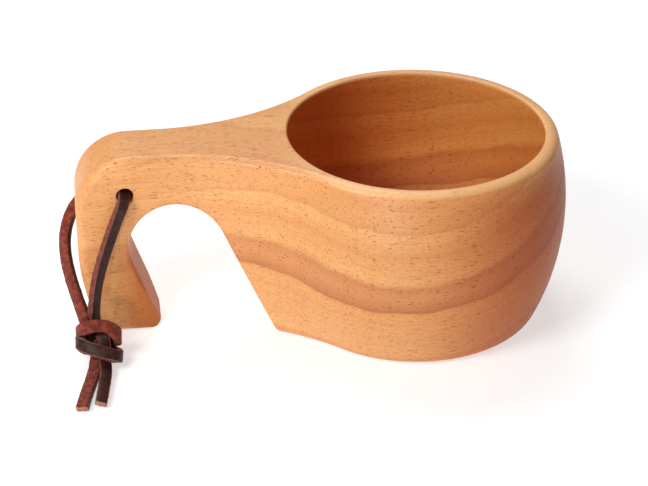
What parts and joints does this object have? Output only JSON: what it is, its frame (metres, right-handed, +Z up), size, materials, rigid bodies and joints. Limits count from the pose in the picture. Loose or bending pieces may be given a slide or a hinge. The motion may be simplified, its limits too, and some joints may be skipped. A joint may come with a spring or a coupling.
{
  "type": "kuksa wooden cup",
  "caption": "Carved wooden drinking cup with a solid bar handle, a finger arch over a leg, and a knotted leather carrying thong.",
  "frame": {"origin": "centre of the bowl's flat base, on the surface the cup stands on", "axes": "+Z up out of the bowl; -X towards the outer end of the handle; the thong's knot and tails lie on the -Y side"},
  "size_m": [0.1506, 0.0967, 0.058],
  "materials": {
    "wood": "oiled, satin",
    "leather": "waxed on one face, suede on the other"
  },
  "bodies": {
    "cup": {"cup_body": "wood"},
    "thong": {"thong_loop": "leather", "thong_knot": "leather", "thong_tail_left": "leather", "thong_tail_right": "leather"}
  },
  "joints": [
    {"name": "thong_swing", "type": "hinge", "parent": "cup", "child": "thong", "pos_m": [-0.0856, 0, 0.0465], "axis": [0, 1, 0], "range_deg": [0, 190]}
  ]
}
